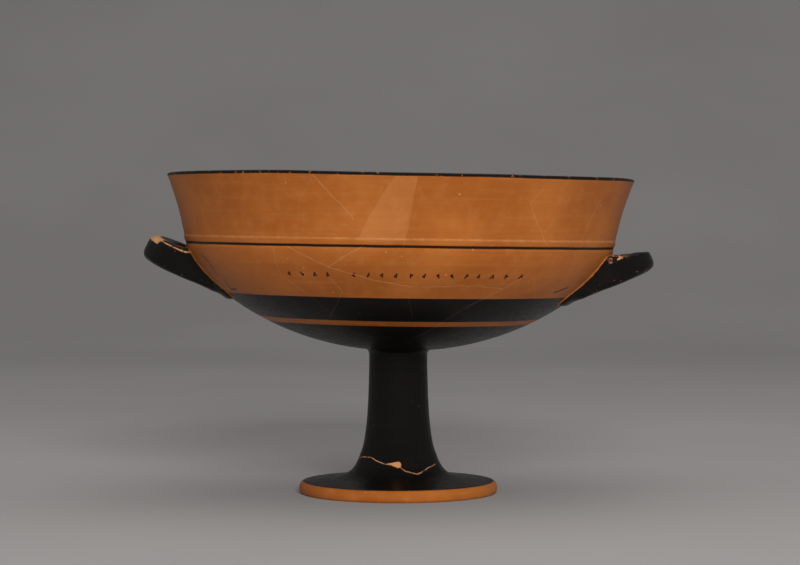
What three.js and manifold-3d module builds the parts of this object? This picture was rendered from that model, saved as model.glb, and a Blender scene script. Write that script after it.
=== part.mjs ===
// Stemmed drinking cup (kylix) of the offset-lip kind: one piece of fired clay.
// A wheel-thrown bowl with a flaring lip, two looped side handles, a tall hollow
// stem and a spreading disc foot. Millimetres, +Z up, handles along X, origin at
// the middle of the ring the foot rests on.

import * as THREE from 'three';
import { mergeVertices } from 'three/addons/utils/BufferGeometryUtils.js';
import Module from 'manifold-3d';

// ---- driving dimensions --------------------------------------------------

const RIM_RADIUS = 115.1;
const RIM_HEIGHT = 156.7;
const JUNCTION_RADIUS = 105.2; // where the lip is set off from the bowl
const JUNCTION_HEIGHT = 122.2;
const SHOULDER_PULL = 11.2; // how far below the junction the wall stays near upright
const NECK_RADIUS = 16; // where the bowl leaves the top of the stem
const NECK_HEIGHT = 71.1;
const LEAN_DEGREES = 0.86; // the bowl leans this far down towards +X
const LEAN_PIVOT_HEIGHT = 70.6;

const LIP_WALL = 3.6;
const LIP_ROUND = 1; // how far the rim is rounded over
const BOWL_WALL = 4.2;
const FLOOR_WALL = 6.2;

const STEM_TOP_RADIUS = 14.4;
const STEM_TOP_HEIGHT = 68;
const STEM_BASE_RADIUS = 18.9; // where the stem turns out into the foot
const STEM_BASE_HEIGHT = 19.1;
const FOOT_TOP_RADIUS = 47.3; // the foot disc bulges a little past this at its edge
const FOOT_TOP_HEIGHT = 5.8;
const RESTING_RING_OUTER = 48.3;
const RESTING_RING_INNER = 38;
const HOLLOW_RADIUS = 12; // the hollow under the foot, where it turns up the stem
const HOLLOW_TURN_HEIGHT = 18;
const HOLLOW_HEIGHT = 60;

const RIGHT_REACH = 118.1; // from the cup's axis to the middle of the bar's tip
const LEFT_REACH = 119.8;
const HANDLE_ARM_SPREAD = 22.4; // half the distance between the two arms
const HANDLE_ROOT_REACH = 88;
const HANDLE_ROOT_HEIGHT = 106.4;
const HANDLE_ROOT_SLOPE = 0.3;
const HANDLE_UPTURN = 0.0026; // how fast the slope grows towards the tip, per mm
const RIGHT_DROP = 0.8; // the right handle sits this much lower
const HANDLE_HALF_WIDTH = 5.8;
const HANDLE_HALF_HEIGHT = 6.5;
const HANDLE_FLARE_START = 102; // inwards of this the arms swell into the bowl
const HANDLE_FLARE_LENGTH = 20;
const HANDLE_FLARE = 0.35;
const BAR_SQUARENESS = 3.6; // 2 is an ellipse, more is squarer

const BREAK_START = 109; // the right handle's top is broken off outwards of this
const BREAK_HEIGHT = 118.8;
const BREAK_SLOPE = 0.165;

const BOWL_SIDES = 64;
const STEM_SIDES = 48;

// ---- outlines, as (radius, height) ---------------------------------------

const pair = (radius, height) => new THREE.Vector2(radius, height);

/** Points along a cubic curve, without its first point. */
function sweep(from, control1, control2, to, steps) {
  const curve = new THREE.CubicBezierCurve(from, control1, control2, to);
  return curve.getPoints(steps).slice(1);
}

/** The bowl's outside, from the neck up to the top of the lip. */
function bowlOutside() {
  const neck = pair(NECK_RADIUS, NECK_HEIGHT);
  const junction = pair(JUNCTION_RADIUS, JUNCTION_HEIGHT);
  const rim = pair(RIM_RADIUS, RIM_HEIGHT - LIP_ROUND * 0.8);
  const shoulder = pair(JUNCTION_RADIUS, JUNCTION_HEIGHT - SHOULDER_PULL);
  const belly = sweep(neck, pair(71, 76.2), shoulder, junction, 9);
  const lip = sweep(junction, pair(106.3, 124.4), pair(107.6, 137.5), rim, 5);
  return [neck, ...belly, ...lip];
}

/** Wall thickness at a height on the outside: thick at the floor, thin at the lip. */
function wallAt(height) {
  const bowlTop = THREE.MathUtils.smoothstep(height, NECK_HEIGHT, NECK_HEIGHT + 14);
  const lipTop = THREE.MathUtils.smoothstep(height, JUNCTION_HEIGHT - 12, JUNCTION_HEIGHT + 6);
  const bowl = THREE.MathUtils.lerp(FLOOR_WALL, BOWL_WALL, bowlTop);
  return THREE.MathUtils.lerp(bowl, LIP_WALL, lipTop);
}

/** An outline moved inwards, square to itself, by a share of the wall. */
function inset(outline, share) {
  return outline.map((point, i) => {
    const before = outline[Math.max(i - 1, 0)];
    const after = outline[Math.min(i + 1, outline.length - 1)];
    const along = after.clone().sub(before).normalize();
    const depth = wallAt(point.y) * share;
    return pair(point.x - along.y * depth, point.y + along.x * depth);
  });
}

/** The closed section of the bowl's wall, rounded over at the lip. */
function bowlSection() {
  const outside = bowlOutside();
  const inside = inset(outside, 1).slice(0, -1);
  const crown = [
    pair(RIM_RADIUS - LIP_ROUND, RIM_HEIGHT),
    pair(RIM_RADIUS - LIP_WALL + LIP_ROUND, RIM_HEIGHT),
  ];
  return [
    pair(0, NECK_HEIGHT - 1),
    ...outside,
    ...crown,
    ...inside.reverse(),
    pair(0, NECK_HEIGHT + FLOOR_WALL - 0.4),
  ];
}

/** The space inside the middle of the wall, which trims the handles' roots. */
function bowlCore() {
  const middle = inset(bowlOutside(), 0.5);
  const bottom = pair(0, middle[0].y);
  const top = pair(0, middle.at(-1).y);
  return [bottom, ...middle, top];
}

/** The outside of foot and stem, from the resting ring up into the bowl's floor. */
function footOutside() {
  const ring = pair(RESTING_RING_OUTER, 0);
  const rimOfDisc = pair(FOOT_TOP_RADIUS, FOOT_TOP_HEIGHT);
  const base = pair(STEM_BASE_RADIUS, STEM_BASE_HEIGHT);
  const stemTop = pair(STEM_TOP_RADIUS, STEM_TOP_HEIGHT);
  return [
    ring,
    ...sweep(ring, pair(49.6, 1.6), pair(49.2, 5), rimOfDisc, 5),
    ...sweep(rimOfDisc, pair(25.5, 8.1), pair(22.9, 7.8), base, 8),
    ...sweep(base, pair(15.1, 26.9), pair(14.5, 51.7), stemTop, 5),
    ...sweep(stemTop, pair(14.4, 70.5), pair(15.6, 71.4), pair(20, 72.3), 4),
  ];
}

/** The hollow under the foot, from the resting ring up to its closed end. */
function footHollow() {
  const ring = pair(RESTING_RING_INNER, 0);
  const turn = pair(HOLLOW_RADIUS, HOLLOW_TURN_HEIGHT);
  const end = pair(0, HOLLOW_HEIGHT);
  return [
    ring,
    ...sweep(ring, pair(25, 3.6), pair(13.4, 2.6), turn, 6),
    ...sweep(turn, pair(10.4, 34), pair(10.2, HOLLOW_HEIGHT - 1), end, 5),
  ];
}

/** Foot and stem in one closed section, its top buried in the bowl's floor. */
function footSection() {
  const buried = NECK_HEIGHT + FLOOR_WALL / 2;
  return [
    ...footHollow().reverse(),
    ...footOutside(),
    pair(NECK_RADIUS, buried),
    pair(0, buried),
  ];
}

// ---- solids ----------------------------------------------------------------

const wasm = await Module();
wasm.setup();

/** A solid from a closed geometry, with shared corners merged. */
function toSolid(geometry) {
  const bare = geometry.index ? geometry.toNonIndexed() : geometry.clone();
  bare.deleteAttribute('normal');
  bare.deleteAttribute('uv');
  const merged = mergeVertices(bare, 1e-4);
  const corners = merged.index.array;
  const faces = [];
  for (let i = 0; i < corners.length; i += 3) {
    const [a, b, c] = corners.slice(i, i + 3);
    if (a !== b && b !== c && c !== a) faces.push(a, b, c);
  }
  return new wasm.Manifold(new wasm.Mesh({
    numProp: 3,
    vertProperties: Float32Array.from(merged.attributes.position.array),
    triVerts: Uint32Array.from(faces),
  }));
}

/** A solid back as a geometry. */
function toGeometry(solid) {
  const mesh = solid.getMesh();
  const geometry = new THREE.BufferGeometry();
  geometry.setAttribute('position', new THREE.BufferAttribute(mesh.vertProperties, 3));
  geometry.setIndex(new THREE.BufferAttribute(mesh.triVerts, 1));
  geometry.computeVertexNormals();
  return geometry;
}

/** A closed section turned round the upright axis. */
function turned(section, sides) {
  return new THREE.LatheGeometry(section, sides).rotateX(Math.PI / 2);
}

/** Tilts a geometry that belongs to the bowl by the bowl's lean. */
function lean(geometry) {
  return geometry
    .translate(0, 0, -LEAN_PIVOT_HEIGHT)
    .rotateY(THREE.MathUtils.degToRad(LEAN_DEGREES))
    .translate(0, 0, LEAN_PIVOT_HEIGHT);
}

// ---- handles ---------------------------------------------------------------

/** The bar's section: a rounded square. */
function barSection() {
  const corners = 16;
  const points = [];
  for (let i = 0; i < corners; i += 1) {
    const angle = (2 * Math.PI * i) / corners;
    const [c, s] = [Math.cos(angle), Math.sin(angle)];
    const sum = Math.abs(c) ** BAR_SQUARENESS + Math.abs(s) ** BAR_SQUARENESS;
    const swell = sum ** (-1 / BAR_SQUARENESS);
    points.push(pair(c * swell * HANDLE_HALF_WIDTH, s * swell * HANDLE_HALF_HEIGHT));
  }
  return new THREE.Shape(points);
}

/** Height of the bar's middle at a distance from the cup's axis, and its slope. */
function handleRise(reach) {
  const out = Math.max(reach, HANDLE_ROOT_REACH) - HANDLE_ROOT_REACH;
  return {
    height: HANDLE_ROOT_HEIGHT + HANDLE_ROOT_SLOPE * out + HANDLE_UPTURN * out * out,
    slope: Math.atan(HANDLE_ROOT_SLOPE + 2 * HANDLE_UPTURN * out),
  };
}

/** A horseshoe bar on the +X side: flat first, then fattened at its roots and bent up. */
function handle(tip, drop) {
  const spread = HANDLE_ARM_SPREAD;
  const side = [
    [HANDLE_ROOT_REACH - 12, spread - 1],
    [HANDLE_ROOT_REACH, spread - 0.4],
    [HANDLE_ROOT_REACH + 12, spread + 0.4],
    [tip - 9.4, spread - 2],
    [tip - 2.4, spread - 10],
  ];
  const loop = [...side, [tip, 0], ...side.map(([x, y]) => [x, -y]).reverse()];
  const path = new THREE.CatmullRomCurve3(loop.map(([x, y]) => new THREE.Vector3(x, y, 0)));
  const bar = new THREE.ExtrudeGeometry(barSection(), { steps: 24, extrudePath: path });
  const place = bar.attributes.position;
  for (let i = 0; i < place.count; i += 1) {
    const [x, y, z] = [place.getX(i), place.getY(i), place.getZ(i)];
    const inwards = THREE.MathUtils.clamp((HANDLE_FLARE_START - x) / HANDLE_FLARE_LENGTH, 0, 1);
    const flare = 1 + HANDLE_FLARE * inwards ** 2;
    const arm = Math.sign(y) * spread;
    const rise = handleRise(x);
    const up = z * flare;
    place.setXYZ(
      i,
      x - up * Math.sin(rise.slope),
      inwards > 0 ? arm + (y - arm) * flare : y,
      rise.height - drop + up * Math.cos(rise.slope),
    );
  }
  return bar;
}

/** The clay lost from the top of the right handle, outwards of its arms' roots. */
function lostClay() {
  const size = 30;
  return new THREE.BoxGeometry(size, 2 * size, size)
    .translate(size / 2, 0, size / 2)
    .rotateY(-Math.atan(BREAK_SLOPE))
    .translate(BREAK_START, 0, BREAK_HEIGHT);
}

// ---- the cup ---------------------------------------------------------------

const core = toSolid(lean(turned(bowlCore(), BOWL_SIDES)));
const rightHandle = toSolid(lean(handle(RIGHT_REACH, RIGHT_DROP)))
  .subtract(toSolid(lean(lostClay())));
const leftHandle = toSolid(lean(handle(LEFT_REACH, 0).rotateZ(Math.PI)));

const cup = toSolid(lean(turned(bowlSection(), BOWL_SIDES)))
  .add(toSolid(turned(footSection(), STEM_SIDES)))
  .add(rightHandle.add(leftHandle).subtract(core));

const clay = new THREE.MeshStandardMaterial({ color: 0xb5652f, roughness: 0.5, metalness: 0 });

const kylix = new THREE.Mesh(toGeometry(cup), clay);
kylix.name = 'kylix';

const group = new THREE.Group();
group.add(kylix);

export default group;
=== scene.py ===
import math

import bmesh
import bpy
import numpy as np
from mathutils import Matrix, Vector


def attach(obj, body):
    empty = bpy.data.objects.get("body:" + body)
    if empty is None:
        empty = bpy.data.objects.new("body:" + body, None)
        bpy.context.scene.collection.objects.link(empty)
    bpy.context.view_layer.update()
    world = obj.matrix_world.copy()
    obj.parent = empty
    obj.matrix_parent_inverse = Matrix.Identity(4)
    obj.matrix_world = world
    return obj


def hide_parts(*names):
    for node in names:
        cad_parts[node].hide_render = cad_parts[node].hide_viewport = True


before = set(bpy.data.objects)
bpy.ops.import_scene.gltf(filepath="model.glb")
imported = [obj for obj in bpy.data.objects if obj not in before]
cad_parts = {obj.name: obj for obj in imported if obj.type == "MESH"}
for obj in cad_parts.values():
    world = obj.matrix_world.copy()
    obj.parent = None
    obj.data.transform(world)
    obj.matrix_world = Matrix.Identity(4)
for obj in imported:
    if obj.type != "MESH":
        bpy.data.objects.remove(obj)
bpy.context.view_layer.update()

# A stemmed drinking cup of fired clay. Lengths are in millimetres until a mesh is made.
MM = 0.001

# ---- the shape, from the same values as the CAD solid -----------------------------------

RIM_RADIUS = 115.1
RIM_HEIGHT = 156.7
JUNCTION_RADIUS = 105.2
JUNCTION_HEIGHT = 122.2
SHOULDER_PULL = 11.2
NECK_RADIUS = 16.0
NECK_HEIGHT = 71.1
LEAN = math.radians(0.86)
LEAN_PIVOT = 70.6
LIP_WALL = 3.6
BOWL_WALL = 4.2
FLOOR_WALL = 6.2
STEM_TOP_RADIUS = 14.4
STEM_TOP_HEIGHT = 68.0
STEM_BASE_RADIUS = 18.9
STEM_BASE_HEIGHT = 19.1
FOOT_TOP_RADIUS = 47.3
FOOT_TOP_HEIGHT = 5.8
RING_OUTER = 48.3
RING_INNER = 38.0
HOLLOW_RADIUS = 12.0
HOLLOW_TURN = 18.0
HOLLOW_HEIGHT = 60.0
RIGHT_REACH = 118.1
LEFT_REACH = 119.8
ARM_SPREAD = 22.4
ROOT_REACH = 88.0
ROOT_HEIGHT = 106.4
ROOT_SLOPE = 0.3
UPTURN = 0.0026
RIGHT_DROP = 0.8
BAR_HALF_WIDTH = 5.8
BAR_HALF_HEIGHT = 6.5
BAR_SQUARENESS = 3.6
FLARE_START = 102.0
FLARE_LENGTH = 20.0
FLARE = 0.35
BREAK_START = 109.0
BREAK_HEIGHT = 118.8
BREAK_SLOPE = 0.165

# ---- finer shape that only the dressed cup has ------------------------------------------

LEDGE_HEIGHT = 125.9       # a low turned ledge runs round the foot of the lip
LEDGE_DEPTH = 0.28
GROOVE_HEIGHT = 122.75     # the painted line sits in a shallow groove above the shoulder
GROOVE_DEPTH = 0.22
WARP_DEPTH = 0.65          # the rim sags a little at the front right
WARP_MIDDLE = 22.0
WARP_WIDTH = 42.0
RIM_UNEVEN = 0.2
SAG_START = 132.0          # the sag and unevenness grow from here up to the rim
WHEEL_DEPTH = 0.05         # turning marks
WHEEL_PITCH = 1.9
STEM_WHEEL_PITCH = 2.3
OUT_OF_ROUND = 0.08
UPRIGHT_BELOW = 66.0       # the stem and foot stand upright up to here
LEANED_ABOVE = 72.0        # and the bowl has its whole lean from here
BOWL_START = 74.0

FRONT_HALF = 95.0          # the columns are closer together over this many degrees each way
COLUMNS_FRONT = 240
COLUMNS_BACK = 140


def smooth(a, b, x):
    t = np.clip((np.asarray(x, float) - a) / (b - a), 0, 1)
    return t * t * (3 - 2 * t)


def mix(a, b, t):
    return a + (b - a) * t


def cubic(a, b, c, d, steps):
    """Points on a cubic curve, without its first."""
    t = np.linspace(0, 1, steps + 1)[1:, None]
    a, b, c, d = (np.array(p, float) for p in (a, b, c, d))
    return (1 - t) ** 3 * a + 3 * (1 - t) ** 2 * t * b + 3 * (1 - t) * t ** 2 * c + t ** 3 * d


def hashed(n, seed=0):
    """A fixed value from 0 to 1 for each whole number."""
    x = np.sin((np.asarray(n, float) + 1.7 * seed) * 12.9898 + 78.233 * (seed + 1)) * 43758.5453
    return x - np.floor(x)


def ripple(x, seed=0):
    """Smooth one-dimensional noise, about -1 to 1, one swing per unit."""
    x = np.asarray(x, float)
    n = np.floor(x)
    t = x - n
    t = t * t * (3 - 2 * t)
    return 2 * mix(hashed(n, seed), hashed(n + 1, seed), t) - 1


# ---- profile ------------------------------------------------------------------------------

def wall_at(height):
    bowl = mix(FLOOR_WALL, BOWL_WALL, smooth(NECK_HEIGHT, NECK_HEIGHT + 14, height))
    return mix(bowl, LIP_WALL, smooth(JUNCTION_HEIGHT - 12, JUNCTION_HEIGHT + 6, height))


def profile():
    """The cup's closed half section, from the middle of the bowl's floor, up the inside, over
    the lip, down the outside and the stem, round the foot's edge and up into the hollow."""
    neck, junction = (NECK_RADIUS, NECK_HEIGHT), (JUNCTION_RADIUS, JUNCTION_HEIGHT)
    belly = cubic(neck, (71, 76.2), (JUNCTION_RADIUS, JUNCTION_HEIGHT - SHOULDER_PULL), junction, 54)
    lip = cubic(junction, (106.3, 124.4), (107.6, 137.5), (RIM_RADIUS, RIM_HEIGHT - 0.8), 40)
    bowl = np.vstack([[neck], belly, lip])
    along = np.gradient(bowl, axis=0)
    along /= np.linalg.norm(along, axis=1)[:, None]
    depth = wall_at(bowl[:, 1])[:, None]
    inside = bowl + np.stack([-along[:, 1], along[:, 0]], 1) * depth
    inside = np.vstack([[[0, NECK_HEIGHT + FLOOR_WALL - 0.4], [8, NECK_HEIGHT + FLOOR_WALL - 0.3]],
                        inside[2:-1:3]])
    turn = np.linspace(0, math.pi, 9)
    radius = LIP_WALL / 2
    crown = np.stack([RIM_RADIUS - radius - np.cos(turn) * radius,
                      RIM_HEIGHT - 1.1 + np.sin(turn) ** 0.7 * 1.1], 1)
    outside = bowl[::-1].copy()
    z = outside[:, 1]
    outside[:, 0] += LEDGE_DEPTH * smooth(LEDGE_HEIGHT + 0.35, LEDGE_HEIGHT - 0.35, z) \
        * smooth(JUNCTION_HEIGHT - 3, JUNCTION_HEIGHT - 0.5, z)
    outside[:, 0] -= GROOVE_DEPTH * np.exp(-((z - GROOVE_HEIGHT) / 0.75) ** 2)
    stem_top = (STEM_TOP_RADIUS, STEM_TOP_HEIGHT)
    base = (STEM_BASE_RADIUS, STEM_BASE_HEIGHT)
    disc = (FOOT_TOP_RADIUS, FOOT_TOP_HEIGHT)
    flare = cubic((NECK_RADIUS + 1.2, NECK_HEIGHT + 0.1), (15.6, 71.2), (14.4, 70.4), stem_top, 7)
    stem = cubic(stem_top, (14.5, 51.7), (15.1, 26.9), base, 22)
    top = cubic(base, (22.9, 7.8), (25.5, 8.1), disc, 24)
    edge = cubic(disc, (49.2, 5), (49.6, 1.6), (RING_OUTER + 0.1, 0.35), 9)
    ring_flat = [(RING_OUTER - 0.5, 0), (43, 0), (RING_INNER, 0)]
    turned_in = (HOLLOW_RADIUS, HOLLOW_TURN)
    dish = cubic((RING_INNER, 0), (25, 3.6), (13.4, 2.6), turned_in, 9)
    bore = cubic(turned_in, (10.4, 34), (10.2, HOLLOW_HEIGHT - 1), (0, HOLLOW_HEIGHT), 8)
    return np.vstack([inside, crown, outside[1:-2], flare, stem, top, edge, ring_flat, dish, bore])


PROFILE = profile()
STEPS = np.linalg.norm(np.diff(PROFILE, axis=0), axis=1)
PATH = np.concatenate([[0], np.cumsum(STEPS)])          # length along the section, in mm
RIM_ROW = int(np.argmax(PROFILE[:, 1]))
RIM_PATH = float(PATH[RIM_ROW])


def leaned(x, y, z, share):
    """Points of the bowl, tilted about the top of the stem by a share of the lean."""
    angle = LEAN * share
    up = z - LEAN_PIVOT
    return np.stack([x * np.cos(angle) + up * np.sin(angle), y,
                     LEAN_PIVOT - x * np.sin(angle) + up * np.cos(angle)], -1)


def columns():
    """Angles round the cup, 0 at the front and growing towards +X, closer at the front."""
    front = np.linspace(-FRONT_HALF, FRONT_HALF, COLUMNS_FRONT, endpoint=False)
    back = np.linspace(FRONT_HALF, 360 - FRONT_HALF, COLUMNS_BACK, endpoint=False)
    return np.concatenate([front, back])


def rim_sag(degrees):
    """How far the rim lies below its true level."""
    return WARP_DEPTH * np.exp(-((degrees - WARP_MIDDLE) / WARP_WIDTH) ** 4) \
        + RIM_UNEVEN * (0.5 - 0.5 * ripple(degrees / 13, 4))


def body_mesh():
    """The profile turned round the axis, with the marks of the wheel and the hand."""
    turn = np.radians(columns())
    degrees = np.degrees((turn + math.pi) % (2 * math.pi) - math.pi)
    count = len(turn)
    rings, verts, faces = [], [], []
    for i, (r, z) in enumerate(PROFILE):
        if r < 1e-6:
            rings.append([len(verts)])
            verts.append(leaned(0.0, 0.0, z, float(z > UPRIGHT_BELOW)))
            continue
        radius = np.full(count, r)
        height = np.full(count, z)
        if z > BOWL_START:
            outer = 1.0 if i > RIM_ROW else 0.6
            patches = 1 + 0.4 * ripple(degrees / 40, 2)
            radius += outer * WHEEL_DEPTH * ripple(z / WHEEL_PITCH, 1) * patches
            radius += OUT_OF_ROUND * np.sin(turn * 2 + z / 30) * smooth(BOWL_START, 100, z)
        height -= rim_sag(degrees) * smooth(SAG_START, RIM_HEIGHT, z)
        if z < UPRIGHT_BELOW and i > RIM_ROW and PATH[i] < PATH[-1] - HOLLOW_HEIGHT:
            radius += WHEEL_DEPTH * ripple(z / STEM_WHEEL_PITCH, 5)
        share = float(smooth(UPRIGHT_BELOW, LEANED_ABOVE, z))
        ring = leaned(radius * np.sin(turn), -radius * np.cos(turn), height, share)
        rings.append(list(range(len(verts), len(verts) + count)))
        verts.extend(ring)
    for a, b in zip(rings[:-1], rings[1:]):
        for k in range(count):
            n = (k + 1) % count
            if len(a) == 1:
                faces.append((a[0], b[n], b[k]))
            elif len(b) == 1:
                faces.append((a[k], a[n], b[0]))
            else:
                faces.append((a[k], a[n], b[n], b[k]))
    return np.array(verts), faces


# ---- handles --------------------------------------------------------------------------------

BAR_CORNERS = 44
BAR_SPACING = 1.15
ROOT_ROWS = 62             # rows of the bar that close up towards the wall
ROOT_SWELL = 2.2           # clay smoothed on where the arms meet the wall
ROOT_SWELL_REACH = 4.5
BREAK_ROUGH = (0.45, 0.3)  # coarse and fine
FLAKE_LIMIT = 6.75         # how far out and up from the bar's middle the left tip is kept
FLAKE_SLANT = (0.6, 0.8)   # outwards and upwards
FLAKE_REACH = 19.0         # along the bar from its tip


def loop_points(tip):
    side = [(ROOT_REACH - 34, ARM_SPREAD - 2), (ROOT_REACH - 12, ARM_SPREAD - 1),
            (ROOT_REACH, ARM_SPREAD - 0.4),
            (ROOT_REACH + 12, ARM_SPREAD + 0.4), (tip - 9.4, ARM_SPREAD - 2),
            (tip - 2.4, ARM_SPREAD - 10)]
    return np.array(side + [(tip, 0)] + [(x, -y) for x, y in side[::-1]], float)


def through(points, spacing):
    """A smooth curve through points, evenly spaced."""
    ends = np.vstack([2 * points[0] - points[1], points, 2 * points[-1] - points[-2]])
    out = []
    for p0, p1, p2, p3 in zip(ends, ends[1:], ends[2:], ends[3:]):
        d0, d1, d2 = (math.sqrt(np.linalg.norm(b - a)) for a, b in ((p0, p1), (p1, p2), (p2, p3)))
        m1 = ((p1 - p0) / d0 - (p2 - p0) / (d0 + d1) + (p2 - p1) / d1) * d1
        m2 = ((p2 - p1) / d1 - (p3 - p1) / (d1 + d2) + (p3 - p2) / d2) * d1
        t = np.linspace(0, 1, 40, endpoint=False)[:, None]
        out.append(p1 + m1 * t + (-3 * p1 + 3 * p2 - 2 * m1 - m2) * t ** 2
                   + (2 * p1 - 2 * p2 + m1 + m2) * t ** 3)
    dense = np.vstack(out + [points[-1:]])
    length = np.concatenate([[0], np.cumsum(np.linalg.norm(np.diff(dense, axis=0), axis=1))])
    even = np.linspace(0, length[-1], int(length[-1] / spacing) + 1)
    return np.stack([np.interp(even, length, dense[:, k]) for k in (0, 1)], 1)


def rise(reach):
    """Height and slope of the bar's middle line at a distance from the axis."""
    out = np.maximum(reach, ROOT_REACH) - ROOT_REACH
    height = ROOT_HEIGHT + ROOT_SLOPE * out + UPTURN * out * out
    return height, np.arctan(ROOT_SLOPE + 2 * UPTURN * out)


BOWL_LENGTH = 160.0        # the bowl's outside, from the rim down along the section
OUT_ROWS = slice(RIM_ROW + 1, int(np.argmax(PATH > RIM_PATH + BOWL_LENGTH)))
OUT_LEVEL = PROFILE[OUT_ROWS, 1][::-1]
OUT_RADIUS = PROFILE[OUT_ROWS, 0][::-1]
OUT_RUN = np.hypot(np.gradient(OUT_LEVEL), np.gradient(OUT_RADIUS))
OUT_SLANT = np.abs(np.gradient(OUT_LEVEL) / OUT_RUN)


def wall_gap(x, y, z):
    """How far a point of the bowl lies outside its wall, square to the wall."""
    away = np.hypot(x, y) - np.interp(z, OUT_LEVEL, OUT_RADIUS)
    return away * np.interp(z, OUT_LEVEL, OUT_SLANT)


def trimmed_to_wall(grid):
    """Each line of the bar, drawn together so that it ends in the middle of the bowl's wall."""
    trimmed = grid.copy()
    half = len(grid) // 2
    for rows in (np.arange(half, -1, -1), np.arange(half, len(grid))):
        count = np.arange(len(rows))
        still = len(rows) - ROOT_ROWS
        for j in range(BAR_CORNERS):
            line = grid[rows, j]
            depth = wall_gap(line[:, 0], line[:, 1], line[:, 2]) + BOWL_WALL / 2
            stop = int(np.argmax(depth < 0))
            end = stop - 1 + depth[stop - 1] / (depth[stop - 1] - depth[stop])
            squeezed = still + (count - still) * (end - still) / (len(rows) - 1 - still)
            want = np.where(count <= still, count, squeezed)
            trimmed[rows, j] = np.stack([np.interp(want, count, line[:, k]) for k in range(3)], 1)
    return trimmed


def closed_tube(grid):
    """Corners and faces of a tube with a fan over each end."""
    faces = []
    for i in range(len(grid) - 1):
        for j in range(BAR_CORNERS):
            n = (j + 1) % BAR_CORNERS
            faces.append((i * BAR_CORNERS + j, i * BAR_CORNERS + n,
                          (i + 1) * BAR_CORNERS + n, (i + 1) * BAR_CORNERS + j))
    verts = list(grid.reshape(-1, 3))
    for ring in (0, len(grid) - 1):
        start = ring * BAR_CORNERS
        verts.append(np.mean(verts[start:start + BAR_CORNERS], axis=0))
        for j in range(BAR_CORNERS):
            faces.append((start + (j + 1) % BAR_CORNERS, start + j, len(verts) - 1))
    return np.array(verts), faces


def bar_mesh(tip, drop, broken):
    """One handle, reaching towards +X: a squarish bar along a horseshoe path."""
    path = through(loop_points(tip), BAR_SPACING)
    along = np.gradient(path, axis=0)
    along /= np.linalg.norm(along, axis=1)[:, None]
    outward = np.stack([-along[:, 1], along[:, 0]], 1)      # the path runs from +y round to -y
    angle = 2 * math.pi * np.arange(BAR_CORNERS) / BAR_CORNERS
    c, s = np.cos(angle), np.sin(angle)
    reach = (np.abs(c) ** BAR_SQUARENESS + np.abs(s) ** BAR_SQUARENESS) ** (-1 / BAR_SQUARENESS)
    out, up = c * reach * BAR_HALF_WIDTH, s * reach * BAR_HALF_HEIGHT

    def place(swell):
        x = path[:, :1] + outward[:, :1] * (out + c * swell)
        y = path[:, 1:] + outward[:, 1:] * (out + c * swell)
        inwards = np.clip((FLARE_START - x) / FLARE_LENGTH, 0, 1)
        flare = 1 + FLARE * inwards ** 2
        arm = np.sign(y) * ARM_SPREAD
        lift = (up + s * swell) * flare
        height, slope = rise(x)
        y = np.where(inwards > 0, arm + (y - arm) * flare, y)
        return x - lift * np.sin(slope), y, height - drop + lift * np.cos(slope)

    x, y, z = place(np.zeros((len(path), BAR_CORNERS)))
    for _ in range(3):
        near = np.clip(1 - wall_gap(x, y, z) / ROOT_SWELL_REACH, 0, 1)
        x, y, z = place(ROOT_SWELL * near ** 2)
    # unevenness of a bar rolled by hand
    run = np.arange(len(path))[:, None] * BAR_SPACING
    z = z + 0.18 * ripple(run / 9 + 0 * z, 11) + 0.06 * ripple(run / 2.4 + 3 * s, 12)
    y = y + 0.12 * ripple(run / 7 + 0 * y, 13)
    if broken:
        coarse, fine = BREAK_ROUGH
        rough = coarse * ripple(x / 2.6 + 0.31 * y, 14) + fine * ripple(y / 1.7 - 0.2 * x, 15)
        top = BREAK_HEIGHT + BREAK_SLOPE * (x - BREAK_START) + rough - 0.1
        top = top + 3 * smooth(BREAK_START, BREAK_START - 5, x)
        z = np.where(x > BREAK_START - 5, np.minimum(z, top), z)
    else:
        from_tip = run - len(path) // 2 * BAR_SPACING
        outwards, upwards = FLAKE_SLANT
        limit = FLAKE_LIMIT + 0.25 * ripple(run / 2.2 + angle, 16)
        cut = np.clip(outwards * out + upwards * up - limit, 0, 2) * (c > -0.4)
        cut = cut * smooth(FLAKE_REACH, FLAKE_REACH - 6, np.abs(from_tip + 1))
        x = x - cut * outwards * outward[:, :1]
        y = y - cut * outwards * outward[:, 1:]
        z = z - cut * upwards
    return closed_tube(trimmed_to_wall(np.stack([x, y, z], 2)))


def make_object(name, verts, faces, slot=0):
    mesh = bpy.data.meshes.new(name)
    mesh.from_pydata([tuple(v) for v in np.asarray(verts) * MM], [], faces)
    mesh.update()
    form = bmesh.new()
    form.from_mesh(mesh)
    bmesh.ops.recalc_face_normals(form, faces=form.faces)
    form.to_mesh(mesh)
    form.free()
    obj = bpy.data.objects.new(name, mesh)
    bpy.context.scene.collection.objects.link(obj)
    mesh.polygons.foreach_set("material_index", [slot] * len(mesh.polygons))
    return obj


def tilted(verts):
    return leaned(verts[:, 0], verts[:, 1], verts[:, 2], 1.0)


REGIONS = ("inside", "lip", "bowl", "foot", "under")     # stretches of the body's section
BAR_SLOT = len(REGIONS)
LINE_LEVEL = 122.7         # the lip's region ends in the painted line
STEM_LEVEL = 76.0          # and the bowl's in the black above the stem


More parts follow.
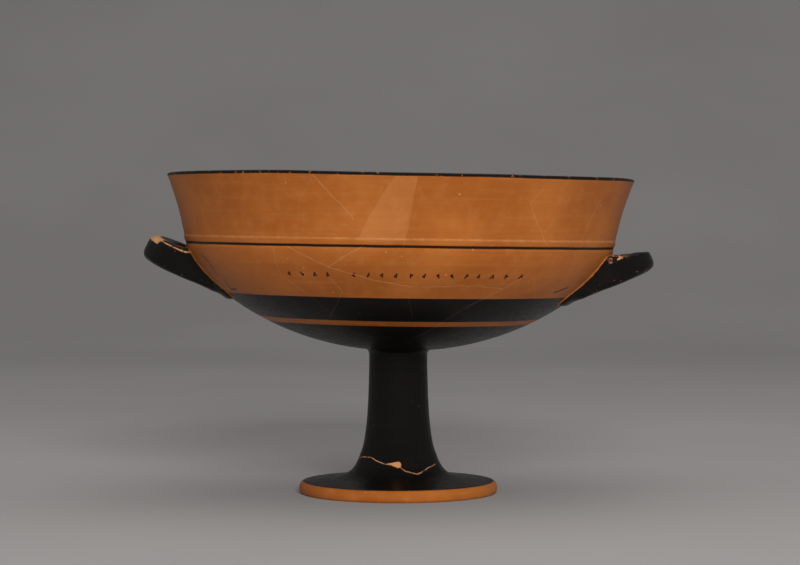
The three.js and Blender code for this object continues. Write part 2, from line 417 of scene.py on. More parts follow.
def build_cup(materials):
    """Body and handles joined into one closed mesh."""
    cup = make_object("kylix_cup", *body_mesh())
    right_verts, right_faces = bar_mesh(RIGHT_REACH, RIGHT_DROP, True)
    right = make_object("right_bar", tilted(right_verts), right_faces, BAR_SLOT)
    left_verts, left_faces = bar_mesh(LEFT_REACH, 0.0, False)
    left = make_object("left_bar", tilted(left_verts * [-1, -1, 1]), left_faces, BAR_SLOT)
    for obj in (cup, right, left):
        for material in materials:
            obj.data.materials.append(material)
    for bar in (right, left):
        join = cup.modifiers.new("join", "BOOLEAN")
        join.operation = "UNION"
        join.solver = "MANIFOLD"
        join.object = bar
    graph = bpy.context.evaluated_depsgraph_get()
    joined = bpy.data.meshes.new_from_object(cup.evaluated_get(graph))
    cup.modifiers.clear()
    cup.data = joined
    for bar in (right, left):
        bpy.data.objects.remove(bar)
    return cup


# ---- places on the cup, kept at each vertex for the material ---------------------------------

FOOT_ROW = RIM_ROW + int(np.argmin(np.hypot(PROFILE[RIM_ROW:, 0] - FOOT_TOP_RADIUS,
                                            PROFILE[RIM_ROW:, 1] - FOOT_TOP_HEIGHT)))
FOOT_EDGE_PATH = float(PATH[FOOT_ROW])
BORE_PATH = float(PATH[-1] - 62)     # the bore's black slip starts here
FINE_SPACING = 0.25


def path_at(level):
    """Length along the section to a height on the cup's outside."""
    return float(np.interp(-level, -PROFILE[RIM_ROW:FOOT_ROW, 1], PATH[RIM_ROW:FOOT_ROW]))


def unleaned(p):
    """Points of the bowl, set upright again."""
    up = p[:, 2] - LEAN_PIVOT
    return np.stack([p[:, 0] * math.cos(LEAN) - up * math.sin(LEAN), p[:, 1],
                     LEAN_PIVOT + p[:, 0] * math.sin(LEAN) + up * math.cos(LEAN)], 1)


def along_profile(r, z):
    """Length along the section of the nearest point of the profile."""
    best = np.full(len(r), 1e9)
    found = np.zeros(len(r))
    for (r0, z0), (r1, z1), start, step in zip(PROFILE, PROFILE[1:], PATH, STEPS):
        if step < 1e-9:
            continue
        t = np.clip(((r - r0) * (r1 - r0) + (z - z0) * (z1 - z0)) / step ** 2, 0, 1)
        away = (r - r0 - (r1 - r0) * t) ** 2 + (z - z0 - (z1 - z0) * t) ** 2
        closer = away < best
        best[closer] = away[closer]
        found[closer] = (start + step * t)[closer]
    return found


def bar_places(p, tip, drop):
    """Place in a handle's bar: length from its tip, how far out and up from its middle."""
    path = through(loop_points(tip), FINE_SPACING)
    x = p[:, 0].copy()
    up = np.zeros(len(p))
    for _ in range(8):
        height, slope = rise(x)
        up = (p[:, 2] + drop - height) / np.cos(slope)
        x = p[:, 0] + up * np.sin(slope)
    flat = np.stack([x, p[:, 1]], 1)
    nearest = np.array([np.argmin(((path - q) ** 2).sum(1)) for q in flat])
    offset = flat - path[nearest]
    along = np.gradient(path, axis=0)[nearest]
    along /= np.linalg.norm(along, axis=1)[:, None]
    out = offset[:, 0] * -along[:, 1] + offset[:, 1] * along[:, 0]
    return (nearest - len(path) / 2) * FINE_SPACING, out, up


def mark_places(cup):
    """Give each vertex its place on the cup, and each face of the body its region's slot."""
    mesh = cup.data
    count = len(mesh.vertices)
    co = np.empty(count * 3)
    mesh.vertices.foreach_get("co", co)
    p = co.reshape(-1, 3) / MM
    bowl = unleaned(p)
    share = smooth(UPRIGHT_BELOW, LEANED_ABOVE, p[:, 2])[:, None]
    bowl = p * (1 - share) + bowl * share
    degrees = np.degrees(np.arctan2(bowl[:, 0], -bowl[:, 1]))
    z = bowl[:, 2] + rim_sag(degrees) * smooth(SAG_START, RIM_HEIGHT, bowl[:, 2] + 0.3)
    path = along_profile(np.hypot(bowl[:, 0], bowl[:, 1]), z)
    bar_faces = np.zeros(count, bool)
    for polygon in mesh.polygons:
        if polygon.material_index == BAR_SLOT:
            bar_faces[list(polygon.vertices)] = True
    bar = {name: np.zeros(count) for name in ("bar_run", "bar_out", "bar_up", "bar_gap")}
    for side, tip, drop in ((1, RIGHT_REACH, RIGHT_DROP), (-1, LEFT_REACH, 0.0)):
        here = bar_faces & (p[:, 0] * side > 0)
        q = bowl[here] * [side, side, 1]
        run, out, up = bar_places(q, tip, drop)
        bar["bar_run"][here], bar["bar_out"][here], bar["bar_up"][here] = run, out, up
        bar["bar_gap"][here] = wall_gap(q[:, 0], q[:, 1], q[:, 2])
    starts = [RIM_PATH, path_at(LINE_LEVEL), path_at(STEM_LEVEL), FOOT_EDGE_PATH + 6]
    for polygon in mesh.polygons:
        if polygon.material_index == 0:
            middle = path[list(polygon.vertices)].mean()
            polygon.material_index = int(np.searchsorted(starts, middle))
    for name, value in dict(bar, section=path, level=z).items():
        layer = mesh.attributes.new(name, "FLOAT", "POINT")
        layer.data.foreach_set("value", value.astype(np.float32))


# ---- material nodes ---------------------------------------------------------------------------

class Nodes:
    """Short calls for building a material out of nodes."""

    def __init__(self, material):
        material.use_nodes = True
        self.tree = material.node_tree
        self.tree.nodes.clear()

    def make(self, kind, inputs=(), **settings):
        """A node with its settings; inputs are sockets to link from, or plain values."""
        node = self.tree.nodes.new(kind)
        for name, value in settings.items():
            setattr(node, name, value)
        for key, value in (inputs.items() if isinstance(inputs, dict) else enumerate(inputs)):
            if isinstance(value, bpy.types.NodeSocket):
                self.tree.links.new(value, node.inputs[key])
            elif value is not None:
                node.inputs[key].default_value = value
        return node

    def math(self, op, a, b=None, c=None):
        return self.make("ShaderNodeMath", (a, b, c), operation=op).outputs[0]

    def add(self, a, b):
        return self.math("ADD", a, b)

    def sub(self, a, b):
        return self.math("SUBTRACT", a, b)

    def mul(self, a, b):
        return self.math("MULTIPLY", a, b)

    def least(self, *values):
        out = values[0]
        for value in values[1:]:
            out = self.math("MINIMUM", out, value)
        return out

    def most(self, *values):
        out = values[0]
        for value in values[1:]:
            out = self.math("MAXIMUM", out, value)
        return out

    def abs(self, a):
        return self.math("ABSOLUTE", a)

    def ramp(self, value, low, high, to_low=0.0, to_high=1.0):
        """Smooth change from to_low at low to to_high at high."""
        return self.make("ShaderNodeMapRange", (value, low, high, to_low, to_high),
                         interpolation_type="SMOOTHSTEP").outputs[0]

    def vector(self, op, a, b=None, scale=None):
        return self.make("ShaderNodeVectorMath", {0: a, 1: b, 3: scale},
                         operation=op).outputs["Vector"]

    def combine(self, x=0.0, y=0.0, z=0.0):
        return self.make("ShaderNodeCombineXYZ", (x, y, z)).outputs[0]

    def split(self, vector):
        return self.make("ShaderNodeSeparateXYZ", (vector,)).outputs

    def attribute(self, name):
        return self.make("ShaderNodeAttribute", attribute_name=name).outputs["Fac"]

    def noise(self, vector, size, detail=3.0, rough=0.55, centred=False):
        """Noise whose blobs are about size mm across, 0 to 1, or -1 to 1 where centred."""
        node = self.make("ShaderNodeTexNoise", {"Vector": vector, "Scale": 1.0 / size,
                                                "Detail": detail, "Roughness": rough})
        out = node.outputs["Fac"]
        return self.math("MULTIPLY_ADD", out, 2.0, -1.0) if centred else out

    def cells(self, vector, size, feature="F1"):
        return self.make("ShaderNodeTexVoronoi", {"Vector": vector, "Scale": 1.0 / size},
                         feature=feature)

    def blend(self, share, a, b):
        """Colour a where share is 0 and b where it is 1."""
        a, b = (item if isinstance(item, bpy.types.NodeSocket) else (*item, 1.0) for item in (a, b))
        return self.make("ShaderNodeMix", {0: share, 6: a, 7: b}, data_type="RGBA").outputs[2]

    def between(self, share, a, b):
        return self.add(a, self.mul(share, self.sub(b, a)))

    def stroke(self, place, a, b):
        """Distance from place to the straight line from a to b."""
        a, b = (item if isinstance(item, bpy.types.NodeSocket) else (*item, 0.0) for item in (a, b))
        return self.make("ShaderNodeGroup", (place, a, b), node_tree=stroke_group()).outputs[0]

    def line(self, place, points, arc=1.0):
        """Distance to a line through points given as (degrees, height), arc mm to a degree."""
        points = [(angle * arc, height) for angle, height in points]
        nearest = self.stroke(place, points[0], points[1])
        for a, b in zip(points[1:], points[2:]):
            nearest = self.math("MINIMUM", nearest, self.stroke(place, a, b))
        return nearest


def stroke_group():
    """Node group for the distance from a place to a straight stroke."""
    if "stroke_distance" in bpy.data.node_groups:
        return bpy.data.node_groups["stroke_distance"]
    group = bpy.data.node_groups.new("stroke_distance", "ShaderNodeTree")
    for name in ("Place", "From", "To"):
        group.interface.new_socket(name, in_out="INPUT", socket_type="NodeSocketVector")
    group.interface.new_socket("Distance", in_out="OUTPUT", socket_type="NodeSocketFloat")
    ins, outs = group.nodes.new("NodeGroupInput"), group.nodes.new("NodeGroupOutput")

    def vector(op, a, b=None, scale=None):
        node = group.nodes.new("ShaderNodeVectorMath")
        node.operation = op
        for key, item in ((0, a), (1, b), (3, scale)):
            if item is not None:
                group.links.new(item, node.inputs[key])
        return node.outputs["Value" if op in ("DOT_PRODUCT", "LENGTH") else "Vector"]

    away = vector("SUBTRACT", ins.outputs[0], ins.outputs[1])
    run = vector("SUBTRACT", ins.outputs[2], ins.outputs[1])
    share = group.nodes.new("ShaderNodeMath")
    share.operation = "DIVIDE"
    share.use_clamp = True
    group.links.new(vector("DOT_PRODUCT", away, run), share.inputs[0])
    group.links.new(vector("DOT_PRODUCT", run, run), share.inputs[1])
    left = vector("SUBTRACT", away, vector("SCALE", run, scale=share.outputs[0]))
    group.links.new(vector("LENGTH", left), outs.inputs[0])
    return group


# ---- colours, linear ---------------------------------------------------------------------------

CLAY = (0.455, 0.135, 0.021)
CLAY_DEEP = (0.37, 0.100, 0.013)
CLAY_PALE = (0.60, 0.235, 0.072)
CLAY_BARE_AND_HIGHLIGHT = (0.62, 0.30, 0.13)       # bare broken clay and filled joins, and the painted highlight along the lip's ledge
SLIP = (0.0055, 0.0050, 0.0045)
SLIP_THIN = (0.035, 0.011, 0.0035)  # slip where it thins out to brown
SLIP_STREAK = (0.020, 0.017, 0.014)
GREY_WEAR = (0.085, 0.075, 0.062)
PAINT = (0.045, 0.010, 0.003)
JOIN_ON_BLACK = (0.13, 0.085, 0.055)
CHIP = (0.62, 0.27, 0.10)
CLAY_SHINE = 0.26
SLIP_SHINE = 0.15

# Joins between sherds, as (degrees from the front, height) along each, with strength and width
# in mm. They are what is seen of the old repairs.
LIP_JOINS = [
    ([(-17.7, 154.5), (-12.3, 142.8), (-10.4, 139.0), (-8.6, 134.5)], 0.85, 0.34),
    ([(-18.0, 153.5), (-22.3, 141.5), (-23.6, 127.0)], 0.22, 0.45),
    ([(0.1, 152.0), (-5.8, 132.5)], 0.30, 0.5),
    ([(6.1, 153.5), (4.6, 133.0), (3.3, 123.2)], 0.30, 0.5),
    ([(60.4, 147.0), (57.0, 134.0), (55.4, 121.8)], 0.9, 0.26),
    ([(37.7, 150.7), (34.8, 143.5), (37.5, 135.7), (42.0, 124.5)], 0.42, 0.5),
]
BOWL_JOINS = [
    ([(-26.6, 121.9), (-16.3, 112.9), (-4.0, 107.0), (6.1, 104.3)], 0.7, 0.4),
    ([(-16.3, 112.9), (-6.6, 122.7), (-3.8, 125.7)], 0.75, 0.36),
    ([(-30.8, 121.5), (-31.4, 109.0), (-25.6, 98.7), (-21.5, 90.5)], 0.38, 0.5),
    ([(-35.2, 106.6), (-34.3, 91.0)], 0.22, 0.5),
    ([(-16.6, 108.7), (-14.3, 101.5), (-17.5, 95.5), (-23.9, 88.5)], 0.55, 0.36),
    ([(8.9, 104.4), (25.0, 105.2), (33.7, 103.6)], 0.6, 0.34),
    ([(39.2, 110.7), (33.7, 103.6), (26.0, 96.0), (16.5, 83.0), (10.0, 78.0)], 0.8, 0.36),
    ([(41.5, 109.5), (46.5, 102.1), (51.7, 96.6)], 0.3, 0.4),
    ([(5.0, 100.0), (7.4, 89.5)], 0.3, 0.4),
]
STEM_JOIN = [(-78, 17.5), (-61, 18.4), (-40, 18.7), (-29, 17.3), (-12, 15.7), (6, 15.3),
             (13, 12.8), (29, 11.0), (38, 12.4), (47, 13.6), (66, 14.9)]
STEM_CHIP = [(-10, 16.0), (5, 15.6)]
CURLS = [[(-57.5, 101.0), (-61.6, 100.4), (-60.2, 104.4)],
         [(56.8, 101.7), (59.4, 102.9), (61.8, 103.8)],
         [(-62.8, 116.6), (-60.6, 113.6)], [(-61.0, 112.0), (-61.2, 107.5)]]
BOWL_ARC = 1.83      # mm of wall for a degree of turn
STEM_ARC = 0.36
SHERD_SIZE = 62.0    # of the sherds on the sides not shown
JOIN_WIDTH = 0.75
JOIN_STRENGTH = 0.62
MARK_LEVEL = 109.4   # the painted row of strokes
MARK_START = -28.3
MARK_PITCH = 3.754
MARK_COUNT = 18
MARK_GAP = 4.0       # this one is missing
MARK_STRETCH = 26.0, 0.013

# Slip bands on the outside, as heights of their upper and lower edges
RIM_BAND_END = 155.1
PAINTED_LINE = 123.3, 122.05
BLACK_BAND = 98.8, 87.35
LOWER_BLACK = 85.0
# and inside, as lengths along the section from the middle of the floor
FLOOR_DOT, FLOOR_CIRCLE, FLOOR_BLACK = 1.3, (4.9, 5.9), 9.5
INNER_LINE = 4.7, 3.1    # the thin reserved line, measured back from the rim
EDGE_SOFT = 0.12


def clay_nodes(g, place):
    """Colour, roughness and relief of the bare burnished clay."""
    cloud = g.noise(place, 34, 3.0)
    fine = g.noise(place, 5.5, 4.0, 0.6)
    grain = g.noise(place, 0.7, 3.0, 0.7)
    band = g.noise(g.vector("MULTIPLY", place, (0.05, 0.05, 1.0)), 1.6, 2.0, 0.6)
    colour = g.blend(g.ramp(cloud, 0.35, 0.68), CLAY_DEEP, CLAY)
    colour = g.blend(g.mul(g.ramp(fine, 0.42, 0.75), 0.18), colour, CLAY_PALE)
    colour = g.blend(g.mul(g.ramp(band, 0.45, 0.75), 0.13), colour, CLAY_PALE)
    colour = g.blend(g.mul(g.ramp(grain, 0.62, 0.8), 0.16), colour, CLAY_DEEP)
    spots = g.cells(place, 6.5)
    size = g.math("MULTIPLY_ADD", g.split(spots.outputs["Color"])[0], 0.11, -0.045)
    speck = g.ramp(g.sub(spots.outputs["Distance"], size), 0.025, -0.01)
    colour = g.blend(g.mul(speck, 0.75), colour, CLAY_BARE_AND_HIGHLIGHT)
    smudge = g.mul(g.ramp(g.noise(place, 13, 5.0, 0.65), 0.60, 0.80), 0.26)
    colour = g.blend(smudge, colour, CLAY_PALE)
    rough = g.ramp(fine, 0.3, 0.8, 0.44, 0.56)
    relief = g.add(g.mul(band, 0.035), g.add(g.mul(grain, 0.02), g.mul(speck, -0.05)))
    return colour, rough, relief


def slip_nodes(g, place, depth):
    """Colour, roughness and relief of the black slip; depth is how far inside its edge."""
    cloud = g.noise(place, 17, 4.0, 0.6)
    fine = g.noise(place, 2.2, 4.0, 0.6)
    thin = g.math("MAXIMUM", g.ramp(depth, 0.75, 0.1), g.mul(g.ramp(cloud, 0.55, 0.78), 0.22))
    colour = g.blend(thin, SLIP, SLIP_THIN)
    spots = g.cells(place, 3.6)
    size = g.math("MULTIPLY_ADD", g.split(spots.outputs["Color"])[0], 0.24, -0.125)
    speck = g.ramp(g.sub(spots.outputs["Distance"], size), 0.03, -0.03)
    worn = g.mul(speck, g.ramp(g.noise(place, 21, 3.0), 0.36, 0.56))
    colour = g.blend(g.mul(worn, 0.8), colour, GREY_WEAR)
    streak = g.noise(g.vector("MULTIPLY", place, (0.06, 0.06, 1.0)), 2.2, 3.0, 0.6)
    colour = g.blend(g.mul(g.ramp(streak, 0.5, 0.8), 0.18), colour, SLIP_STREAK)
    rough = g.ramp(g.add(fine, g.mul(streak, 0.4)), 0.4, 1.0, 0.30, 0.46)
    relief = g.add(g.mul(streak, 0.03), g.add(g.mul(fine, 0.012), g.mul(worn, -0.05)))
    return colour, rough, relief


def finish_material(g, colour, rough, relief, shine):
    """One shader for everything; relief is a height in mm."""
    bump = g.make("ShaderNodeBump", {"Height": relief, "Distance": MM, "Strength": 0.6})
    shader = g.make("ShaderNodeBsdfPrincipled",
                    {"Base Color": colour, "Roughness": rough, "Normal": bump.outputs[0],
                     "Specular IOR Level": shine, "IOR": 1.5})
    out = g.make("ShaderNodeOutputMaterial")
    g.tree.links.new(shader.outputs[0], out.inputs[0])


def slip_depth(g, section, place, bands):
    """How far inside the nearest of the slip bands, in mm; negative on the bare clay."""
    wobble = g.noise(place, 19, 2.0, 0.5, centred=True)
    shake = g.noise(place, 1.5, 3.0, 0.6, centred=True)
    moved = g.add(section, g.add(g.mul(wobble, 0.22), g.mul(shake, 0.12)))
    depth = None
    for low, high in bands:
        inside = g.least(g.sub(moved, low), g.sub(high, moved))
        depth = inside if depth is None else g.math("MAXIMUM", depth, inside)
    return depth


def degrees_round(g, place):
    """Angle round the bowl from the front, in the bowl's own leaning frame."""
    up = g.vector("SUBTRACT", place, (0, 0, LEAN_PIVOT))
    rotate = g.make("ShaderNodeVectorRotate", {"Vector": up, "Angle": -LEAN}, rotation_type="Y_AXIS")
    x, y = g.split(rotate.outputs[0])[:2]
    return g.mul(g.math("ARCTAN2", x, g.mul(y, -1.0)), 180 / math.pi)


def place_in_mm(g):
    return g.vector("SCALE", g.make("ShaderNodeTexCoord").outputs["Object"], scale=1 / MM)


def uneven(g, place):
    """A small shift that keeps drawn lines from being straight."""
    return g.combine(g.noise(place, 4.0, 3.0, 0.6, centred=True),
                     g.noise(g.vector("ADD", place, (50, 0, 0)), 4.0, 3.0, 0.6, centred=True))


def drawn_joins(g, unrolled, patchy, lines):
    """The joins listed above, 0 to 1."""
    joins = None
    for line, strength, width in lines:
        near = g.line(unrolled, line, BOWL_ARC)
        seen = g.ramp(near, width * JOIN_WIDTH, width * 0.2, 0.0, strength * JOIN_STRENGTH)
        joins = seen if joins is None else g.math("MAXIMUM", joins, seen)
    return g.mul(joins, g.ramp(patchy, 0.28, 0.55, 0.35, 1.0))


def hidden_joins(g, place, bend, patchy):
    """Joins on the sides not shown, and inside."""
    spread = g.vector("ADD", place, g.vector("SCALE", bend, scale=1.6))
    edge = g.cells(spread, SHERD_SIZE, "DISTANCE_TO_EDGE").outputs["Distance"]
    edge = g.mul(edge, SHERD_SIZE)
    return g.mul(g.ramp(edge, 0.34, 0.1), g.ramp(patchy, 0.35, 0.6, 0.15, 0.6))


def body_material(material, region):
    """Material of one stretch of the section: inside, lip, bowl, foot or under."""
    g = Nodes(material)
    place = place_in_mm(g)
    section, level = g.attribute("section"), g.attribute("level")
    rim_band = (RIM_PATH - INNER_LINE[1], path_at(RIM_BAND_END))
    line_band = tuple(path_at(level) for level in PAINTED_LINE)
    lower = (path_at(LOWER_BLACK), FOOT_EDGE_PATH)
    depth = slip_depth(g, section, place, {
        "inside": [(FLOOR_BLACK, RIM_PATH - INNER_LINE[0]), rim_band,
                   FLOOR_CIRCLE, (-2.0, FLOOR_DOT)],
        "lip": [rim_band, line_band],
        "bowl": [line_band, tuple(path_at(level) for level in BLACK_BAND), lower],
        "foot": [lower],
        "under": [lower, (BORE_PATH, PATH[-1] + 5)]}[region])
    slip = g.ramp(depth, -EDGE_SOFT, EDGE_SOFT)
    patchy = g.noise(place, 3.2, 3.0, 0.6)
    bend = uneven(g, place)
    colour, rough, relief = clay_nodes(g, place)
    joins = chip = None
    if region in ("lip", "bowl", "foot"):
        degrees = degrees_round(g, place)
    if region in ("lip", "bowl"):
        unrolled = g.vector("ADD", g.combine(g.mul(degrees, BOWL_ARC), level),
                            g.vector("SCALE", bend, scale=0.7))
        joins = drawn_joins(g, unrolled, patchy, LIP_JOINS if region == "lip" else BOWL_JOINS)
        joins = g.math("MAXIMUM", joins, g.mul(hidden_joins(g, place, bend, patchy),
                                               g.ramp(g.abs(degrees), 78, 84)))
    if region == "inside":
        joins = hidden_joins(g, place, bend, patchy)
    if region == "lip":
        # one paler sherd at the front, and the ledge's top painted pale, as a painted highlight where
        # it catches light and as rubbed wear
        left = g.sub(degrees, g.math("MULTIPLY_ADD", level, 0.311, -47.0))
        right = g.sub(g.math("MULTIPLY_ADD", level, 0.088, -7.35), degrees)
        pale = g.mul(g.mul(g.ramp(left, -0.2, 0.3), g.ramp(right, -0.2, 0.3)),
                     g.ramp(level, 123.5, 127, 0.0, 0.3))
        colour = g.blend(pale, colour, CLAY_PALE)
        # painted highlight along the ledge's top, in patches, standing also for rubbed wear
        ledge_highlight_and_wear = g.mul(g.ramp(g.abs(g.sub(level, LEDGE_HEIGHT + 0.1)), 0.7, 0.15, 0.0, 0.5),
                       g.ramp(patchy, 0.3, 0.7, 0.25, 0.9))
        colour = g.blend(ledge_highlight_and_wear, colour, CLAY_BARE_AND_HIGHLIGHT)
        # slip rubbed through along the rim
        worn = g.mul(g.ramp(g.abs(g.sub(level, 156.0)), 2.2, 1.2, 0.0, 0.85),
                     g.ramp(g.noise(place, 3.0, 4.0, 0.65), 0.60, 0.66))
        slip = g.mul(slip, g.sub(1.0, worn))
    if region == "bowl":
        colour = g.blend(painted_strokes(g, degrees, level, unrolled, bend, patchy), colour, PAINT)
    if region == "foot":
        stem_place = g.vector("ADD", g.combine(g.mul(degrees, STEM_ARC), level),
                              g.vector("SCALE", bend, scale=0.55))
        near = g.line(stem_place, STEM_JOIN, STEM_ARC)
        joins = g.mul(g.mul(g.ramp(near, 0.32, 0.08, 0.0, 0.8), g.ramp(patchy, 0.38, 0.6, 0.15, 1.0)),
                      g.ramp(level, 24, 22))
        near = g.line(stem_place, STEM_CHIP, STEM_ARC)
        chip = g.ramp(g.sub(near, g.ramp(degrees, -11, 6, 0.1, 1.45)), 0.15, -0.1)
    dark, dark_rough, dark_relief = slip_nodes(g, place, depth)
    colour = g.blend(slip, colour, dark)
    rough = g.between(slip, rough, dark_rough)
    relief = g.add(g.between(slip, relief, dark_relief), g.mul(slip, 0.03))
    if joins is not None:
        colour = g.blend(joins, colour, CLAY_BARE_AND_HIGHLIGHT if region == "foot"
                         else g.blend(slip, CLAY_BARE_AND_HIGHLIGHT, JOIN_ON_BLACK))
        relief = g.add(relief, g.mul(joins, -0.12))
    if chip is not None:
        colour = g.blend(chip, colour, CHIP)
        relief = g.add(relief, g.mul(chip, -0.35))
    finish_material(g, colour, rough, relief, g.ramp(slip, 0, 1, CLAY_SHINE, SLIP_SHINE))


def painted_strokes(g, degrees, level, unrolled, bend, patchy):
    """The row of short strokes, and the brush curls beside the handles' roots."""
    stretch_start, stretch = MARK_STRETCH
    late = g.math("MAXIMUM", g.sub(degrees, stretch_start), 0.0)
    spaced = g.sub(degrees, g.mul(g.mul(late, late), stretch))
    count = g.mul(g.sub(spaced, MARK_START), 1 / MARK_PITCH)
    number = g.math("ROUND", count)
    across = g.mul(g.sub(count, number), MARK_PITCH * BOWL_ARC)
    in_mark = g.vector("ADD", g.combine(across, g.sub(level, MARK_LEVEL)),
                       g.vector("SCALE", bend, scale=0.12))
    dice = g.make("ShaderNodeTexWhiteNoise", {"W": number}, noise_dimensions="1D").outputs["Color"]
    d1, d2, d3 = g.split(dice)
    tilt = g.math("MULTIPLY_ADD", d1, 1.1, -0.55)
    upright = g.stroke(in_mark, g.combine(g.mul(tilt, -1.0), -0.7), g.combine(tilt, 0.75))
    arm = g.stroke(in_mark, g.combine(g.mul(tilt, 0.6), g.math("MULTIPLY_ADD", d3, 0.9, -0.25)),
                   g.combine(g.math("MULTIPLY_ADD", g.ramp(d2, 0.45, 0.55), 1.8, -0.9),
                             g.math("MULTIPLY_ADD", d3, -1.1, 0.45)))
    marks = g.ramp(g.least(upright, arm), 0.5, 0.3)
    middle = (MARK_COUNT - 1) / 2
    real = g.mul(g.ramp(g.abs(g.sub(number, middle)), middle + 0.2, middle + 0.1),
                 g.ramp(g.abs(g.sub(number, MARK_GAP)), 0.3, 0.4))
    marks = g.mul(marks, real)
    near = None
    for curl in CURLS:
        one = g.line(unrolled, curl, BOWL_ARC)
        near = one if near is None else g.math("MINIMUM", near, one)
    curls = g.mul(g.ramp(near, 0.7, 0.3), g.ramp(patchy, 0.3, 0.55, 0.4, 1.0))
    return g.math("MAXIMUM", marks, curls)


def bar_material(material):
    """Material of the handles: slip with worn edges, the left flake and the right break."""
    g = Nodes(material)
    place = place_in_mm(g)
    run, out, up, gap = (g.attribute(n) for n in ("bar_run", "bar_out", "bar_up", "bar_gap"))
    x, y = g.split(place)[:2]
    shake = g.noise(place, 2.0, 4.0, 0.6, centred=True)
    wobble = g.noise(place, 9, 2.0, 0.5, centred=True)
    # slip everywhere but the inner face and a thin seam along the wall
    depth = g.least(g.add(out, g.math("MULTIPLY_ADD", wobble, 0.5, 4.7)),
                    g.add(gap, g.math("MULTIPLY_ADD", shake, 0.4, -0.5)))
    slip = g.ramp(depth, -EDGE_SOFT, EDGE_SOFT)
    left = g.ramp(x, 5, -5)
    right = g.sub(1.0, left)
    rough_noise = g.noise(place, 2.6, 5.0, 0.65)
    # left: the top corner of the tip has flaked off
    corner = g.add(g.mul(out, 0.6), g.mul(up, 0.8))
    flake = g.mul(g.ramp(g.add(corner, g.mul(shake, 0.5)), 6.0, 6.35),
                  g.ramp(g.abs(g.add(run, 1.0)), 17.5, 15.5))
    flake = g.mul(flake, left)
    # left: a rubbed strip along the upper edge of the near arm
    near = g.ramp(y, -2, -6)
    strip = g.abs(g.sub(g.sub(up, out), g.math("MULTIPLY_ADD", wobble, 0.4, 1.3)))
    strip = g.mul(g.ramp(strip, 0.85, 0.45), g.mul(g.ramp(up, 3.0, 4.0), near))
    strip = g.mul(g.mul(strip, left), g.ramp(rough_noise, 0.36, 0.5))
    # right: broken top, part bare clay and part dark
    broken = g.mul(g.ramp(up, 4.2, 4.9), g.ramp(rough_noise, 0.5, 0.56))
    broken = g.mul(g.mul(broken, right), g.ramp(x, BREAK_START - 7, BREAK_START - 4))
    edge = g.mul(g.ramp(g.mul(g.abs(out), g.abs(up)), 17, 22), g.ramp(rough_noise, 0.62, 0.70))
    bare = g.most(flake, strip, broken, g.mul(edge, 0.8))
    slip = g.mul(slip, g.sub(1.0, bare))
    colour, rough, relief = clay_nodes(g, place)
    colour = g.blend(bare, colour, CLAY_BARE_AND_HIGHLIGHT)
    dark, dark_rough, dark_relief = slip_nodes(g, place, g.add(depth, 0.4))
    colour = g.blend(slip, colour, dark)
    rough = g.between(slip, rough, dark_rough)
    relief = g.between(slip, relief, dark_relief)
    relief = g.add(relief, g.mul(bare, g.math("MULTIPLY_ADD", rough_noise, 0.5, -0.25)))
    finish_material(g, colour, rough, relief, g.ramp(slip, 0, 1, CLAY_SHINE, SLIP_SHINE))


# ---- put together ---------------------------------------------------------------------------

materials = [bpy.data.materials.new("clay_" + name) for name in REGIONS + ("bar",)]
cup = build_cup(materials)
mark_places(cup)
for material, region in zip(materials, REGIONS):
    body_material(material, region)
bar_material(materials[BAR_SLOT])
for polygon in cup.data.polygons:
    polygon.use_smooth = True
cup.data.set_sharp_from_angle(angle=math.radians(50))
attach(cup, "root")
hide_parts("kylix")

# ---- floor, light and camera ----------------------------------------------------------------

# floor and backdrop are one sheet, flat in front and swept up behind
SHEET_FRONT, SWEEP_START, SWEEP_RADIUS, SWEEP_TOP, SHEET_HALF = -3.5, 1.2, 1.6, 4.2, 5.0
PAPER_DARK = (0.40, 0.385, 0.38)
PAPER_LIGHT = (0.43, 0.415, 0.41)
section = [(SHEET_FRONT, 0.0), (SWEEP_START, 0.0)]
section += [(SWEEP_START + SWEEP_RADIUS * math.sin(a), SWEEP_RADIUS * (1 - math.cos(a)))
            for a in np.radians(np.arange(4, 91, 4))]
section.append((SWEEP_START + SWEEP_RADIUS, SWEEP_TOP))
sheet = [(x, y, z) for y, z in section for x in (-SHEET_HALF, SHEET_HALF)]
floor_mesh = bpy.data.meshes.new("floor")
strips = [(2 * i, 2 * i + 1, 2 * i + 3, 2 * i + 2) for i in range(len(section) - 1)]
floor_mesh.from_pydata(sheet, [], strips)
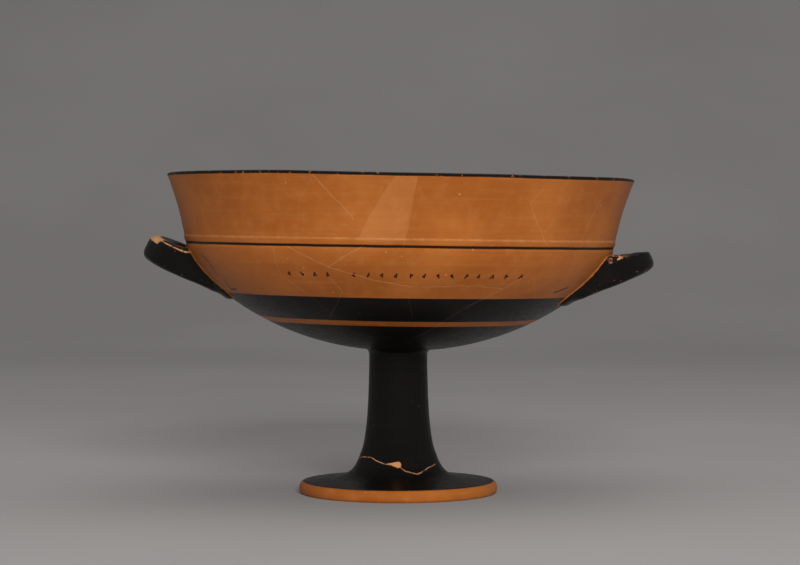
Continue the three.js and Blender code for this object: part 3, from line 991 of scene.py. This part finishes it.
for polygon in floor_mesh.polygons:
    polygon.use_smooth = True
floor = bpy.data.objects.new("floor", floor_mesh)
bpy.context.scene.collection.objects.link(floor)
floor_paper = bpy.data.materials.new("floor_paper")
floor_nodes = Nodes(floor_paper)
floor_place = floor_nodes.make("ShaderNodeTexCoord").outputs["Object"]
grain = floor_nodes.noise(floor_place, 0.35, 3.0)
paper = floor_nodes.blend(floor_nodes.ramp(grain, 0.3, 0.7), PAPER_DARK, PAPER_LIGHT)
finish_material(floor_nodes, paper, 0.9, floor_nodes.mul(grain, 0.02), 0.2)
floor.data.materials.append(floor_paper)

CAMERA_LENS = 104.4
CAMERA_SENSOR = 36.0
CAMERA_PLACE = (0.05104, -1.14887, 0.1296)
CAMERA_DOWN = 1.27         # degrees below level
CAMERA_TURN = 2.5
camera_data = bpy.data.cameras.new("camera")
camera_data.lens = CAMERA_LENS
camera_data.sensor_width = CAMERA_SENSOR
camera = bpy.data.objects.new("camera", camera_data)
camera.location = CAMERA_PLACE
camera.rotation_euler = (math.radians(90 - CAMERA_DOWN), 0, math.radians(CAMERA_TURN))
bpy.context.scene.collection.objects.link(camera)
bpy.context.scene.camera = camera


def area_light(name, place, target, size, energy, glossy=True):
    """A square soft light; one that isn't glossy leaves no reflection of itself."""
    data = bpy.data.lights.new(name, "AREA")
    data.size = size
    data.energy = energy
    light = bpy.data.objects.new(name, data)
    light.location = place
    light.rotation_euler = (Vector(target) - Vector(place)).to_track_quat("-Z", "Y").to_euler()
    light.visible_glossy = glossy
    bpy.context.scene.collection.objects.link(light)


area_light("key", (0.30, -1.9, 0.80), (0, 0, 0.1), 0.8, 33, glossy=False)
area_light("overhead", (0.2, 0.1, 1.6), (0, 0, 0), 1.6, 6)
world = bpy.data.worlds.new("world")
bpy.context.scene.world = world
world.use_nodes = True
surroundings = world.node_tree.nodes["Background"].inputs
surroundings["Color"].default_value = (1.0, 0.985, 0.98, 1)
surroundings["Strength"].default_value = 0.24

bpy.context.scene.view_settings.view_transform = "Standard"
